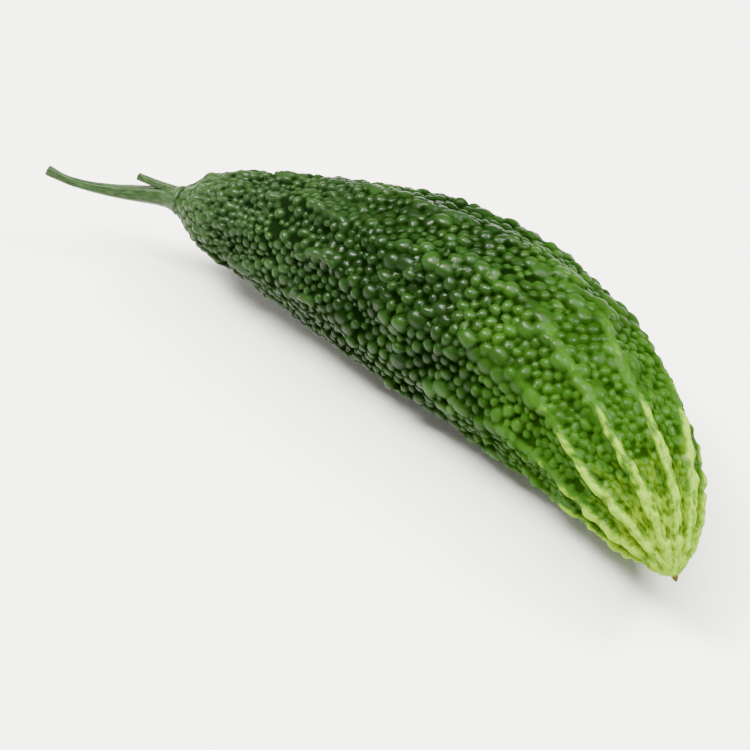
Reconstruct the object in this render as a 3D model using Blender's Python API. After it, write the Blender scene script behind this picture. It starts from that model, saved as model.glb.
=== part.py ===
"""A bitter gourd, picked with its stalk and lying on a surface, at its real size.

The fruit is a spindle swept along a bowed middle line. Ten ridges run from neck to tip, and warts cover
the skin between them. The skin is one triangle mesh: each wart has a top, with a low point halfway to each
of its neighbours, the large ones also have shoulders, and a Delaunay triangulation of the unrolled skin
joins them all.
Lengths are in metres, +X runs from the stalk end to the blossom tip, and +Z is up. The origin is on the
surface that the gourd lies on, under its belly.
"""

import bmesh
import bpy
import numpy as np
from mathutils import Vector, geometry

# The middle line, as seen from above and from the side
CHORD = 0.185  # neck to tip in a straight line
BOW = 0.0240  # how far the middle line stands off that straight line
BOW_SKEW = 0.30  # moves the strongest bend towards the tip
BELLY = 0.56  # where the gourd touches down, as a share of the chord
AXIS_HEIGHT = 0.0258  # of the middle line over the belly
NECK_DROOP = 0.0035  # how much lower the middle line lies there than over the belly
TIP_DROOP = 0.0045

# The spindle, without its warts
NECK_RADIUS = 0.0040
BODY_RADIUS = 0.0247
WIDEST = 0.50  # share of the chord
STALK_SIDE_POWER = 1.9
TIP_SIDE_POWER = 0.7
NIB_LENGTH = 0.0016  # the dried end of the flower, past the tip
NIB_RADIUS = 0.0011
NIB_START = 0.985  # share of the chord where the skin narrows into the nib

# The ridges
RIDGES = 10
RIDGE_SWELL = 0.0010  # of the skin under each ridge
SWELL_FROM, SWELL_TO, SWELL_FADE = 0.15, 0.85, 0.15  # shares of the chord
RIDGE_WAVE = 0.10  # radians that a ridge wanders sideways
RIDGE_WAVES = 2.3  # turns of that wander along the fruit
RIDGE_SHIFT = 2.5  # how differently the ridges wander
BAR_HEIGHT = 0.0017  # of the smooth bars that the ridges become near the tip
BAR_HALF_WIDTH = 0.0018
BAR_FOOT = 0.0003  # height of a bar's edges
BAR_STEP = 0.0042
BAR_FROM, BAR_TO = 0.70, 0.925
BAR_RISE = 0.05  # share of the chord over which the bars reach their height
BAR_START = 0.35  # of their height
NECK_ROWS, NECK_TO = 4, 0.028  # rows of ridges round the neck, up to this share of the chord
TIP_ROWS = 7  # from the bars' end to the nib
END_ROW_RADIUS = 0.0090  # where the ridges have their full height in these rows

# The warts, fewer and larger than on a real fruit
SMALL_SPACING = 0.0033  # at the least, and about half as much again between most
MIDDLE_SPACING = 0.0060
WART_HEIGHT = 0.0020
SIZE_SPREAD = 0.28  # how much smaller the warts are at both ends
HEIGHT_SPREAD = (0.80, 1.15)
WART_FROM, WART_TO = 0.038, 0.925
LOW_DEPTH = 0.0002  # of the skin between warts
LUMP_STEP = 0.0120  # between the large warts that sit on a ridge
LUMP_JITTER = 0.20  # of that step
LUMP_SPACING = 0.0070
LUMP_HEIGHT = 1.15
LUMP_STRETCH = 1.4  # along the ridge
LUMP_FROM, LUMP_TO = 0.11, 0.69
SHOULDERS = 6  # points round a large wart
SHOULDER_REACH = 0.30  # of the wart's spacing
SHOULDER_HEIGHT = 0.72
SMALL_HEIGHT = 0.9
EDGE_CLEARANCE = 0.6  # of the spacing, from a wart to a ridge's edge
CANDIDATES = 16000  # spots tried when warts are spread
SEED = 11
PRESSED = 0.0011  # warts whose tops come this near the surface are flat on it

# The stalk
STALK_GAP = 0.0003  # between the stalk's foot and the neck
STALK_END = Vector((-0.0332, -0.0187, -0.0004))  # from the neck
STALK_BEND = 0.45  # how far the stalk follows the neck's direction before it turns
STALK_SAG = Vector((0, 0, -0.0026))  # deepest at two thirds of its length
STALK_TIP_RADIUS = 0.00120
STALK_TAPER = 0.00095
THIN_FROM, THIN_TO = 0.25, 0.75  # where along the stalk it grows thin
STALK_FLARE = 0.0017
FLARE_REACH = 0.0030
STALK_SIDES = 12
STALK_RINGS = 18
STALK_ANGLES = 5  # blunt edges along the stalk
STALK_EDGE = 0.06  # of the radius
STALK_KNOB = 0.00022  # the cut end is a little thicker
KNOB_FROM, KNOB_RISE = 0.93, 0.04  # shares of the stalk's length
RING_GATHER = 1.5  # sets the stalk's rings closer towards its flare
STUB_FOOT = Vector((-0.0010, 0.0010, 0.0016))  # from the neck, inside the stalk's flare
STUB_REACH = Vector((-0.0110, -0.0051, 0.0016))
STUB_SAG = Vector((0, 0, -0.0003))  # of its middle
STUB_RADIUS = 0.00105
STUB_SIDES = 8

FULL_TURN = 2 * np.pi
DOWN = -np.pi / 2
STEPS = 2000  # of the table that measures along the skin
OVERLAP = 1.2  # radians by which the unrolled skin repeats itself past each edge

SKIN_COLOUR, SKIN_ROUGHNESS = (0.035, 0.115, 0.022, 1), 0.35
STALK_COLOUR, STALK_ROUGHNESS = (0.115, 0.215, 0.060, 1), 0.5


def middle_line(u):
    """Points of the fruit's middle line at the shares u of its chord."""
    u = np.atleast_1d(np.asarray(u, float))
    bow = 4 * BOW * u * (1 - u) * (1 + BOW_SKEW * (2 * u - 1))
    belly_bow = 4 * BOW * BELLY * (1 - BELLY) * (1 + BOW_SKEW * (2 * BELLY - 1))
    to_neck = np.clip(1 - u / BELLY, 0, None)
    to_tip = np.clip((u - BELLY) / (1 - BELLY), 0, None)
    height = AXIS_HEIGHT - NECK_DROOP * to_neck**2 - TIP_DROOP * to_tip**2
    return np.stack([CHORD * (u - BELLY), bow - belly_bow, height], axis=1)


def directions(u):
    """Unit vectors along, beside and above the middle line at u."""
    small = 1e-4
    along = middle_line(np.asarray(u) + small) - middle_line(np.asarray(u) - small)
    along /= np.linalg.norm(along, axis=1)[:, None]
    beside = np.cross([0, 0, 1], along)
    beside /= np.linalg.norm(beside, axis=1)[:, None]
    return along, beside, np.cross(along, beside)


def radius(u):
    """The spindle's radius, without ridges and warts."""
    u = np.asarray(u, float)
    to_neck = np.clip(1 - u / WIDEST, 0, 1)
    to_tip = np.clip((u - WIDEST) / (1 - WIDEST), 0, 1)
    stalk_side = NECK_RADIUS + (BODY_RADIUS - NECK_RADIUS) * (1 - to_neck**STALK_SIDE_POWER)
    tip_side = BODY_RADIUS * (1 - to_tip**2) ** TIP_SIDE_POWER
    return np.where(u < WIDEST, stalk_side, tip_side)


def wander(u, angle):
    """How far the ridge near this angle has strayed sideways at u."""
    return RIDGE_WAVE * np.sin(FULL_TURN * RIDGE_WAVES * np.asarray(u) + RIDGE_SHIFT * np.sin(angle))


def ridge_angle(number, u):
    """Where a ridge runs round the fruit. Half numbers are the valleys between."""
    straight = FULL_TURN * number / RIDGES
    angle = straight
    for _ in range(4):
        angle = straight + wander(u, angle)
    return angle


def fade(u, low, high, width):
    """1 between low and high, falling to 0 over the width outside them."""
    rise = np.clip((np.asarray(u) - low) / width + 1, 0, 1)
    fall = np.clip((high - np.asarray(u)) / width + 1, 0, 1)
    return rise * fall


def swell(u, angle):
    """How far the skin stands out under the ridges."""
    wave = 0.5 + 0.5 * np.cos(RIDGES * (angle - wander(u, angle)))
    return RIDGE_SWELL * fade(u, SWELL_FROM, SWELL_TO, SWELL_FADE) * wave


def skin_points(u, angle, lift):
    """World positions on the skin, lifted off it."""
    along, beside, above = directions(u)
    reach = (radius(u) + swell(u, angle) + lift)[:, None]
    ring = np.cos(angle)[:, None] * beside + np.sin(angle)[:, None] * above
    return middle_line(u) + reach * ring


def skin_table():
    """The shares u and, for each, the distance from the neck in units of the local radius."""
    u = np.linspace(0, NIB_START, STEPS)
    stretch = np.linalg.norm(np.diff(middle_line(u), axis=0), axis=1)
    slope = np.diff(radius(u))
    steps = np.hypot(stretch, slope) / (radius(u)[1:] + radius(u)[:-1]) * 2
    return u, np.concatenate([[0], np.cumsum(steps)])


def wart_size(u):
    """The size of a wart at u, as a share of the largest."""
    return 1 - SIZE_SPREAD + SIZE_SPREAD * fade(u, 0.32, 0.72, 0.26)


def wart_height(u):
    """Warts are low at the shoulder, full on the body and die out towards the tip."""
    return WART_HEIGHT * fade(u, 0.26, 0.70, 0.27) ** 0.6


class Skin:
    """The list of the skin's points: share of the chord, angle, lift, and the wart that each is part of."""

    def __init__(self):
        self.rows = []
        self.reaches = []
        self.table = skin_table()

    def add(self, u, angle, lift, wart=-1):
        self.rows.append((float(u), float(angle) % FULL_TURN, float(lift), wart))

    def shifted(self, u, angle, ahead, round_it):
        """The point that lies so far ahead and round the fruit, in metres, from u and angle."""
        return u + ahead / CHORD, angle + round_it / float(radius(u))

    def add_wart(self, u, angle, spacing, height):
        self.add(u, angle, height, len(self.reaches))
        self.reaches.append(spacing)

    def add_large_wart(self, u, angle, spacing, height, stretch):
        """A wart with shoulders round its top."""
        number = len(self.reaches)
        self.add_wart(u, angle, spacing, height)
        for side in range(SHOULDERS):
            turn = FULL_TURN * (side + 0.5) / SHOULDERS
            ahead = spacing * SHOULDER_REACH * stretch * np.cos(turn)
            sideways = spacing * SHOULDER_REACH * np.sin(turn)
            self.add(*self.shifted(u, angle, ahead, sideways), SHOULDER_HEIGHT * height, number)

    def arrays(self):
        """The points as arrays, with how far along the unrolled skin each one is."""
        u, angle, lift, wart = (np.array(column) for column in zip(*self.rows))
        return np.interp(u, *self.table), u, angle, lift, wart

    def places(self):
        """Which points count as places: each wart's top, and every point that is part of no wart."""
        wart = self.arrays()[-1]
        return np.flatnonzero(np.concatenate([[True], (wart[1:] != wart[:-1]) | (wart[1:] < 0)]))

    def add_low_points(self):
        """Points halfway between neighbouring warts, nearer to the smaller one."""
        q, u, angle, _, wart = self.arrays()
        places = self.places()
        pairs = set()
        for face in triangulate(q[places], angle[places]):
            pairs.update(tuple(sorted((places[a], places[b]))) for a, b in zip(face, face[1:] + face[:1]))
        for a, b in sorted(pairs):
            if wart[a] >= 0 and wart[b] >= 0:
                share = self.reaches[wart[a]] / (self.reaches[wart[a]] + self.reaches[wart[b]])
                turn = (angle[b] - angle[a] + np.pi) % FULL_TURN - np.pi
                self.add(u[a] + share * (u[b] - u[a]), angle[a] + share * turn, -LOW_DEPTH)


def add_end_rows(skin):
    """Rows of ridge crests and valleys where the skin is too narrow for warts."""
    neck = np.linspace(0, np.interp(NECK_TO, *skin.table), NECK_ROWS)
    tip = np.linspace(skin.table[1][-1], np.interp(BAR_TO, *skin.table), TIP_ROWS)
    for q in np.concatenate([neck, tip]):
        u = np.interp(q, skin.table[1], skin.table[0])
        relief = min(1, radius(u) / END_ROW_RADIUS)
        for half in range(2 * RIDGES):
            lift = BAR_HEIGHT if half % 2 == 0 else -LOW_DEPTH
            skin.add(u, ridge_angle(half / 2, u), lift * relief)


def add_bars(skin):
    """The smooth bars that the ridges turn into before the tip."""
    for u in np.arange(BAR_FROM, BAR_TO, BAR_STEP / CHORD):
        rise = np.clip((u - BAR_FROM) / BAR_RISE, BAR_START, 1)
        for number in range(RIDGES):
            angle = ridge_angle(number, u)
            skin.add(u, angle, BAR_HEIGHT * rise)
            for side in (-1, 1):
                skin.add(*skin.shifted(u, angle, 0, side * BAR_HALF_WIDTH), BAR_FOOT)


def add_lumps(skin, draw):
    """The large warts: one that the gourd lies on, at the origin, and a row along each ridge."""
    skin.add_large_wart(BELLY, DOWN, LUMP_SPACING, WART_HEIGHT, 1)
    for number in range(RIDGES):
        offset = draw.uniform(0, LUMP_STEP)
        for ahead in np.arange(LUMP_FROM * CHORD + offset, LUMP_TO * CHORD, LUMP_STEP):
            u = (ahead + draw.uniform(-LUMP_JITTER, LUMP_JITTER) * LUMP_STEP) / CHORD
            angle = ridge_angle(number, u)
            spacing = LUMP_SPACING * wart_size(u)
            if np.linalg.norm(skin_points([u], np.array([angle]), 0.0)) > LUMP_SPACING:
                skin.add_large_wart(u, angle, spacing, LUMP_HEIGHT * wart_height(u), LUMP_STRETCH)


def spread_warts(skin, draw, full_spacing, shoulders):
    """Adds warts of one size wherever there is room, each as far as can be from all that is there."""
    weight = np.linspace(WART_FROM, WART_TO, STEPS)
    share = np.cumsum(radius(weight))
    u = np.interp(draw.uniform(0, share[-1], CANDIDATES), share, weight)
    angle = draw.uniform(0, FULL_TURN, CANDIDATES)
    spot = skin_points(u, angle, 0.0)
    spacing = full_spacing * wart_size(u)
    room = np.full(CANDIDATES, np.inf)
    _, placed_u, placed_angle, _, wart = (column[skin.places()] for column in skin.arrays())
    for other, number in zip(skin_points(placed_u, placed_angle, 0.0), wart):
        apart = EDGE_CLEARANCE * spacing if number < 0 else (spacing + skin.reaches[number]) / 2
        room = np.minimum(room, np.linalg.norm(spot - other, axis=1) / apart)
    best = int(np.argmax(room))
    while room[best] >= 1:
        height = wart_height(u[best]) * draw.uniform(*HEIGHT_SPREAD)
        if shoulders:
            skin.add_large_wart(u[best], angle[best], spacing[best], height, 1)
        else:
            skin.add_wart(u[best], angle[best], spacing[best], SMALL_HEIGHT * height)
        room = np.minimum(room, np.linalg.norm(spot - spot[best], axis=1) / spacing)
        best = int(np.argmax(room))


def triangulate(q, angle):
    """Delaunay triangles of points on a tube, from their places q along and angle round it."""
    copies = [
        (i, q[i], angle[i] + turn)
        for turn in (-FULL_TURN, 0, FULL_TURN)
        for i in range(len(q))
        if -OVERLAP < angle[i] + turn < FULL_TURN + OVERLAP
    ]
    flat = [Vector((a, b)) for _, a, b in copies]
    _, _, faces, origin, _, _ = geometry.delaunay_2d_cdt(flat, [], [], 0, 1e-9)
    kept = []
    for face in faces:
        first = [origin[corner][0] for corner in face]
        middle = sum(copies[i][2] for i in first) / 3
        if 0 <= middle < FULL_TURN:
            kept.append([copies[i][0] for i in first])
    return kept


def press_flat(points, wart):
    """Warts that reach the surface lie flat on it, and nothing goes below it."""
    for number in range(int(wart.max()) + 1):
        members = np.flatnonzero(wart == number)
        if points[members, 2].min() < PRESSED:
            near = members[points[members, 2] < PRESSED]
            points[near, 2] = 0
    between = wart < 0
    points[between, 2] = np.maximum(points[between, 2], LOW_DEPTH)


def fruit_mesh():
    """The whole fruit as points and triangles."""
    draw = np.random.default_rng(SEED)
    skin = Skin()
    add_end_rows(skin)
    add_bars(skin)
    add_lumps(skin, draw)
    spread_warts(skin, draw, MIDDLE_SPACING, shoulders=True)
    spread_warts(skin, draw, SMALL_SPACING, shoulders=False)
    skin.add_low_points()
    q, u, angle, lift, wart = skin.arrays()
    points = skin_points(u, angle, lift)
    press_flat(points, wart)
    return points, triangulate(q, angle)


def close_ends(mesh):
    """Caps the neck flat, where the stalk stands, and draws the other end out into the nib."""
    neck, tip = sorted(open_loops(mesh), key=lambda loop: loop[0].co.x)
    bmesh.ops.contextual_create(mesh, geom=neck)
    end = Vector(middle_line(1.0)[0])
    along = Vector(directions([1.0])[0][0])
    ring = [mesh.verts.new(end + (v.co - end).normalized() * NIB_RADIUS) for v in tip]
    point = mesh.verts.new(end + along * NIB_LENGTH)
    for i, corner in enumerate(tip):
        after = (i + 1) % len(tip)
        mesh.faces.new((corner, tip[after], ring[after], ring[i]))
        mesh.faces.new((ring[i], ring[after], point))


def open_loops(mesh):
    """The loops of open edges, each as its vertices in order."""
    edges = [e for e in mesh.edges if e.is_boundary]
    loops = []
    while edges:
        edge = edges.pop(0)
        loop = [edge.verts[0], edge.verts[1]]
        while loop[-1] != loop[0]:
            onward = next(e for e in loop[-1].link_edges if e in edges)
            edges.remove(onward)
            loop.append(onward.other_vert(loop[-1]))
        loops.append(loop[:-1])
    return loops


def make_fruit(material):
    points, faces = fruit_mesh()
    mesh = bmesh.new()
    verts = [mesh.verts.new(p) for p in points]
    for face in faces:
        mesh.faces.new([verts[i] for i in face])
    close_ends(mesh)
    return finished("fruit", mesh, material)


def stalk_line(share):
    """Points along the stalk's middle, from its foot on the neck to its cut end."""
    neck = Vector(middle_line(0.0)[0])
    back = -Vector(directions([0.0])[0][0])
    foot = neck + back * STALK_GAP
    end = neck + STALK_END
    knee = foot + back * STALK_BEND * (end - foot).length
    line = foot * (1 - share) ** 2 + knee * 2 * share * (1 - share) + end * share**2
    return line + STALK_SAG * share**2 * (1 - share) * 6.75


def stalk_radius(share):
    length = STALK_END.length
    flare = STALK_FLARE * np.exp(-share * length / FLARE_REACH)
    thin = np.clip((share - THIN_FROM) / (THIN_TO - THIN_FROM), 0, 1)
    taper = STALK_TAPER * (1 - thin**2 * (3 - 2 * thin))
    knob = STALK_KNOB * np.clip((share - KNOB_FROM) / KNOB_RISE, 0, 1)
    return STALK_TIP_RADIUS + taper + flare + knob


def tube(mesh, centres, radii, sides, edge=0.0, angles=1):
    """A closed tube through the centres, with blunt edges along it."""
    rings = []
    for i, centre in enumerate(centres):
        before, after = centres[max(i - 1, 0)], centres[min(i + 1, len(centres) - 1)]
        along = (after - before).normalized()
        beside = Vector((0, 0, 1)).cross(along).normalized()
        above = along.cross(beside)
        ring = []
        for side in range(sides):
            turn = FULL_TURN * side / sides
            reach = radii[i] * (1 + edge * np.cos(angles * turn))
            ring.append(mesh.verts.new(centre + (beside * np.cos(turn) + above * np.sin(turn)) * reach))
        rings.append(ring)
    for ring, following in zip(rings, rings[1:]):
        for side in range(sides):
            after = (side + 1) % sides
            mesh.faces.new((ring[side], ring[after], following[after], following[side]))
    mesh.faces.new(rings[0])
    mesh.faces.new(rings[-1])


def make_stalk(material):
    """The stalk with its cut side shoot, joined in one solid."""
    shares = (np.linspace(0, 1, STALK_RINGS) ** RING_GATHER).tolist()
    mesh = bmesh.new()
    centres = [stalk_line(share) for share in shares]
    tube(mesh, centres, [stalk_radius(s) for s in shares], STALK_SIDES, STALK_EDGE, STALK_ANGLES)
    stalk = finished("stem", mesh, material)
    shoot = bmesh.new()
    foot = Vector(middle_line(0.0)[0]) + STUB_FOOT
    bend = foot + STUB_REACH / 2 + STUB_SAG
    tube(shoot, [foot, bend, foot + STUB_REACH], [STUB_RADIUS] * 3, STUB_SIDES)
    cutter = finished("side_shoot", shoot, material)
    join = stalk.modifiers.new("side shoot", "BOOLEAN")
    join.operation = "UNION"
    join.object = cutter
    cutter.hide_render = True
    cutter.display_type = "WIRE"
    return stalk


def finished(name, mesh, material):
    """A named object from a bmesh, with its faces pointing out."""
    bmesh.ops.recalc_face_normals(mesh, faces=mesh.faces)
    data = bpy.data.meshes.new(name)
    mesh.to_mesh(data)
    mesh.free()
    made = bpy.data.objects.new(name, data)
    data.materials.append(material)
    bpy.context.scene.collection.objects.link(made)
    return made


def skin_material(name, colour, roughness):
    material = bpy.data.materials.new(name)
    material.use_nodes = True
    shader = material.node_tree.nodes["Principled BSDF"]
    shader.inputs["Base Color"].default_value = colour
    shader.inputs["Roughness"].default_value = roughness
    shader.inputs["Metallic"].default_value = 0.0
    return material


def main():
    for old in list(bpy.data.objects):
        bpy.data.objects.remove(old)
    make_fruit(skin_material("gourd_skin", SKIN_COLOUR, SKIN_ROUGHNESS))
    make_stalk(skin_material("stalk_skin", STALK_COLOUR, STALK_ROUGHNESS))


main()
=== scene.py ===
"""The looks of a bitter gourd: its beaded skin, its cut stalk, the floor, the light and the camera.

The skin and the stalk are each worked out by Geometry Nodes from a few sizes, round the same middle line
as the solids that they stand for. Lengths are in metres. A place along the fruit is a share of its chord,
from 0 at the neck to 1 at the tip.
"""

import math

import bpy
from mathutils import Matrix, Vector


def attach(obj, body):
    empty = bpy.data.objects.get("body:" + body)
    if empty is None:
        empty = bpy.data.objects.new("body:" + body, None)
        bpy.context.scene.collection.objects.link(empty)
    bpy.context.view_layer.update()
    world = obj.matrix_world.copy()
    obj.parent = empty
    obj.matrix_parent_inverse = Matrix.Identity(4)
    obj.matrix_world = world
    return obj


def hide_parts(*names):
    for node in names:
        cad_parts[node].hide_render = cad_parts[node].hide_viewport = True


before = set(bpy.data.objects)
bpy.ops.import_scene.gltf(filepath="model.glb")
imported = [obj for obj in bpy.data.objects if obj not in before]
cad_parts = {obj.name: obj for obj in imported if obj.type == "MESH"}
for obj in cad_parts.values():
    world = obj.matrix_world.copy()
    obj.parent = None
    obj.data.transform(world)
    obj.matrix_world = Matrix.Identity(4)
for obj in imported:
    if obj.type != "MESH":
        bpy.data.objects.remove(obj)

bl_info = {
    "name": "Bitter Gourd",
    "version": (1, 0, 0),
    "blender": (4, 5, 0),
    "location": "View3D > Sidebar > Gourd",
    "description": "A bitter gourd with its stalk, on a pale floor in soft light",
    "category": "Object",
}

FULL_TURN = 2 * math.pi
STEP = 1e-3  # either way along a line, where its direction is measured
MERGE_DISTANCE = 1e-6


def length(name, default, description):
    """A property that holds a length in metres."""
    return bpy.props.FloatProperty(
        name=name, default=default, description=description, subtype="DISTANCE", precision=5
    )


def share(name, default, description):
    """A property that holds a plain number."""
    return bpy.props.FloatProperty(name=name, default=default, description=description, precision=4)


def angle_of(name, degrees, description):
    """A property that holds an angle, given in degrees."""
    return bpy.props.FloatProperty(
        name=name, default=math.radians(degrees), description=description, subtype="ANGLE"
    )


def offset_of(name, default, description):
    """A property that holds a place or a way, in metres."""
    return bpy.props.FloatVectorProperty(
        name=name, default=default, description=description, subtype="XYZ", precision=5
    )


def colour(name, default, description):
    """A property that holds a colour."""
    return bpy.props.FloatVectorProperty(
        name=name, default=default, description=description, subtype="COLOR", size=3, min=0, max=1
    )


class GourdShape(bpy.types.PropertyGroup):
    """The fruit's middle line, its girth and its ridges."""

    chord: length("Chord", 0.185, "Neck to tip in a straight line")
    bow: length("Bow", 0.0240, "How far the middle line stands off that straight line")
    bow_skew: share("Bow Skew", 0.30, "Moves the strongest bend towards the tip")
    belly: share("Belly", 0.56, "Where the gourd touches down, as a share of the chord")
    axis_height: length("Axis Height", 0.0258, "Height of the middle line over the belly")
    neck_droop: length("Neck Droop", 0.0035, "How much lower the middle line lies at the neck")
    tip_droop: length("Tip Droop", 0.0045, "How much lower the middle line lies at the tip")
    neck_radius: length("Neck Radius", 0.0040, "Radius where the stalk stands")
    body_radius: length("Body Radius", 0.0240, "Radius of the body under its beads")
    widest: share("Widest", 0.50, "Where the body is widest, as a share of the chord")
    neck_power: share("Neck Power", 1.9, "How full the shoulder is")
    tip_power: share("Tip Power", 0.7, "How blunt the tip is")
    nib_radius: length("Nib Radius", 0.0009, "Radius of the dried nib at the tip")
    nib_length: length("Nib Length", 0.0016, "Length of the nib past the tip")
    ridges: share("Ridges", 10, "Number of ridges round the fruit")
    ridge_swell: length("Ridge Swell", 0.0013, "How far the skin stands out under the ridges")
    ridge_wave: share("Ridge Wave", 0.10, "Radians that a ridge wanders sideways")
    ridge_waves: share("Ridge Waves", 2.3, "Turns of that wander along the fruit")
    ridge_shift: share("Ridge Shift", 2.5, "How differently the ridges wander")
    ridge_sway: length("Ridge Sway", 0.0046, "How far small bends push a ridge sideways")
    shoulder: length("Shoulder", 0.0012, "How far the shoulder stands out next to the neck")
    lumpiness: length("Lumpiness", 0.0016, "Height of the broad unevenness of the skin")
    lump_size: length("Lump Size", 0.014, "Width of that unevenness")
    rows: bpy.props.IntProperty(name="Rows", default=394, description="Rows of points from neck to tip")
    columns: bpy.props.IntProperty(name="Columns", default=250, description="Faces round the fruit")


class GourdBeads(bpy.types.PropertyGroup):
    """The beads and the smooth cords on the skin."""

    height: share("Bead Height", 1.08, "Height of a bead as a share of its radius")
    spread: share("Bead Spread", 1.22, "How far a bead's foot reaches past its own place")
    roundness: share("Roundness", 0.64, "Power of the bead's profile")
    blend: length("Blend", 0.00020, "How softly beads run into each other")
    irregular: length("Irregular", 0.0013, "How far a bead's outline strays from a circle")
    cord_height: length("Cord Height", 0.0018, "Height of the cords on the ridges")
    cord_width: length("Cord Width", 0.0015, "Half the width of those cords")
    streak_height: length("Streak Height", 0.0026, "Height of the fine lines at both ends")
    first: share("First", 0.012, "Where along the fruit the beads begin")
    last: share("Last", 0.915, "Where along the fruit the beads end")
    seed: bpy.props.IntProperty(name="Seed", default=5, description="Seed of the beads' places")


class GourdColours(bpy.types.PropertyGroup):
    """The colours of the skin and the stalk."""

    # Painted shade: the colour between the beads is darker than the beads' sides, standing in for the
    # shade in the crevices
    crevice_painted_shade: colour("Crevice", (0.0012, 0.0042, 0.0006), "Between the beads")
    flank: colour("Flank", (0.0022, 0.0084, 0.0008), "The sides of the beads")
    # Painted shade between the beads near the tip, as above
    young_crevice_painted_shade: colour("Young Crevice", (0.0060, 0.0215, 0.0010), "Between the beads near the tip")
    young_flank: colour("Young Flank", (0.0115, 0.0390, 0.0020), "The sides of the beads near the tip")
    # Partly painted sheen: the tops are paler and bluer than the beads' sides, partly their own tone and
    # partly standing in for the soft highlight on them
    crown_and_painted_sheen: colour("Crown", (0.0088, 0.0260, 0.0042), "The tops of the beads")
    fresh: colour("Fresh", (0.0230, 0.0660, 0.0065), "The brighter beads towards the tip")
    cord: colour("Cord", (0.0120, 0.0300, 0.0070), "The ridges on the body")
    tip: colour("Tip", (0.1480, 0.2700, 0.0120), "The yellow-green end")
    neck: colour("Neck", (0.0210, 0.0420, 0.0140), "The grey-green shoulder")
    nib: colour("Nib", (0.0420, 0.0340, 0.0090), "The dried nib")
    stalk: colour("Stalk", (0.0120, 0.0300, 0.0064), "The stalk")
    stalk_light: colour("Stalk Light", (0.0290, 0.0560, 0.0175), "The stalk's pale lines")
    # Partly painted shade: this colour darkens the stalk's underside and furrows, where shade falls, and
    # also its darker fibre streaks
    stalk_streaks_and_painted_shade: colour("Stalk Dark", (0.0080, 0.0200, 0.0040), "The stalk's furrows and underside")
    cut: colour("Cut", (0.0100, 0.0150, 0.0040), "The stalk's cut end")


class GourdStalk(bpy.types.PropertyGroup):
    """The stalk and its side shoot."""

    reach: offset_of("Reach", (-0.0332, -0.0187, -0.0004), "From the neck to the cut end")
    bend: share("Bend", 0.45, "How far the stalk follows the neck before it turns")
    sag: length("Sag", 0.0026, "How far the stalk hangs two thirds along")
    hook: length("Hook", 0.0010, "How far the cut end is turned up")
    sunk: length("Sunk", 0.0012, "How far its foot reaches into the neck")
    end_radius: length("End Radius", 0.0012, "Radius near the cut end")
    taper: length("Taper", 0.00115, "How much thicker the stalk is near its foot")
    flare: length("Flare", 0.0018, "How much the foot widens into the neck")
    flare_reach: length("Flare Reach", 0.0034, "How far the flare runs up the stalk")
    knob: length("Knob", 0.00022, "How much thicker the cut end is")
    shoot_foot: offset_of("Shoot Foot", (-0.0010, 0.0010, 0.0016), "The side shoot's foot, from the neck")
    shoot_reach: offset_of("Shoot Reach", (-0.0110, -0.0051, 0.0016), "From its foot to its end")
    shoot_sag: length("Shoot Sag", 0.0003, "How far the side shoot's middle hangs")
    shoot_radius: length("Shoot Radius", 0.00105, "Radius of the side shoot")


class GourdStage(bpy.types.PropertyGroup):
    """The floor, the lights and the camera."""

    aim: offset_of("Aim", (-0.0214, -0.0286, 0.0181), "What the camera looks at")
    azimuth: angle_of("Azimuth", 47, "The camera's turn from the front")
    elevation: angle_of("Elevation", 45, "The camera's height as an angle")
    distance: length("Distance", 0.90, "From the camera to the aim")
    frame_width: length("Frame Width", 0.1944, "Width of the picture at the aim")
    floor: colour("Floor", (0.86, 0.85, 0.81), "The pale floor")
    floor_flat: length("Floor Flat", 2.2, "Radius of the flat part of the floor")
    floor_bend: length("Floor Bend", 3.0, "How softly the floor turns up past its flat part")
    floor_rim: length("Floor Rim", 4.8, "Radius of the floor's rim")
    ceiling: share("Ceiling", 8.6, "Strength of the light from above")
    ceiling_spread: angle_of("Ceiling Spread", 52, "How broad that light is")
    surround: share("Surround", 0.30, "Strength of the even light from all sides")


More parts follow.
